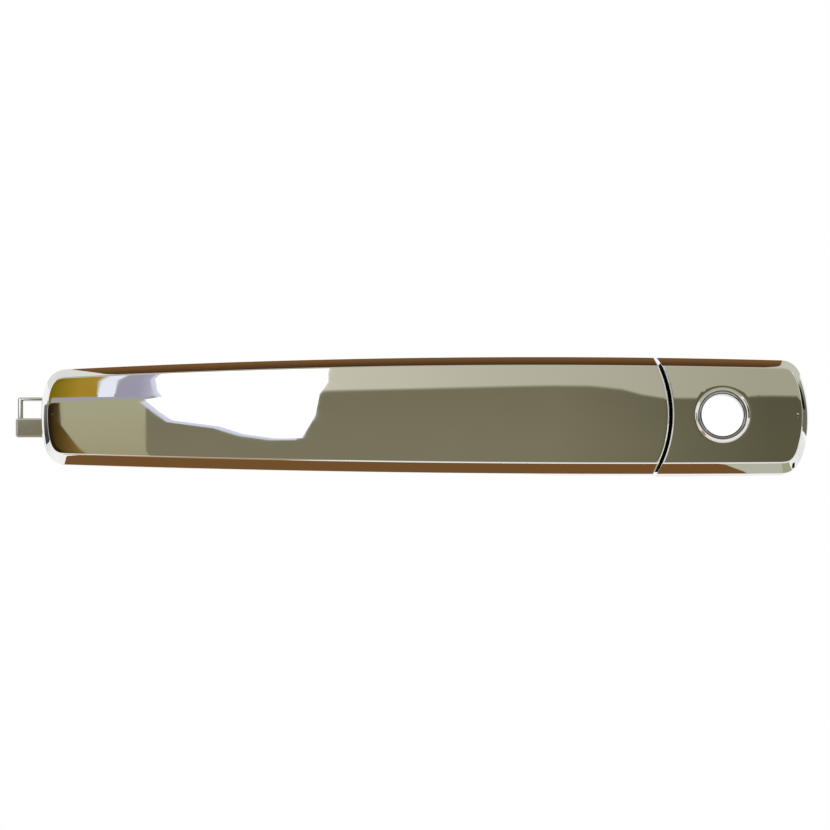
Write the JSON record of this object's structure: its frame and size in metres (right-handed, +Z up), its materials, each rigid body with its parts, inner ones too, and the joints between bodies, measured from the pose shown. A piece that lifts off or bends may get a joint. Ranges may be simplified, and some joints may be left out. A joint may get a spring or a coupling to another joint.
{
  "type": "car door handle",
  "caption": "Chromed pull-type outside car door handle with a key-hole end cap, hinged grip, release lever, return spring and mounting bracket.",
  "frame": {"origin": "axis of the lock cylinder's sleeve at the bracket's outer face, which lies against the inside of the door skin", "axes": "+X to the rear of the car, along the handle; +Y into the door; +Z up"},
  "size_m": [0.2266, 0.0675, 0.0332],
  "materials": {
    "chrome": "bright decorative chrome plating",
    "plated_back": "plated moulding, slightly satin",
    "bracket_plastic": "glass-filled moulding, satin",
    "rubber": "matt",
    "zinc_steel": "zinc plated",
    "black_steel": "black zinc plated",
    "die_cast": "as-cast zinc alloy",
    "weight_iron": "phosphated",
    "brass": "turned",
    "acetal": "smooth"
  },
  "bodies": {
    "bracket": {"bracket": "bracket_plastic", "end_cap": "chrome", "cap_insert": "brass", "cap_screw": "black_steel", "front_gasket": "rubber", "rear_gasket": "rubber", "front_bolt": "zinc_steel", "front_nut": "zinc_steel", "fixing_inserts": "brass", "lever_pin": "zinc_steel", "pin_clip": "black_steel", "return_spring": "zinc_steel", "lever_buffer": "rubber"},
    "grip": {"grip_cover": "chrome", "grip_back": "plated_back", "grip_screws": "black_steel"},
    "lever": {"lever": "die_cast", "lever_roller": "acetal", "roller_pin": "zinc_steel", "counterweight": "weight_iron", "counterweight_rivet": "zinc_steel"}
  },
  "joints": [
    {"name": "grip_pull", "type": "hinge", "parent": "bracket", "child": "grip", "pos_m": [-0.1835, 0.0065, 0], "axis": [0, 0, -1], "range_deg": [0, 9]},
    {"name": "lever_turn", "type": "hinge", "parent": "bracket", "child": "lever", "pos_m": [-0.068, 0.02, 0], "axis": [0, 0, -1], "range_deg": [0, 50], "stiffness_Nm_per_rad": 0.22, "springref_deg": -38.96, "deforming": ["return_spring"]}
  ],
  "couplings": [
    {"joint": "lever_turn", "follows": "grip_pull", "ratio": 5.46}
  ]
}
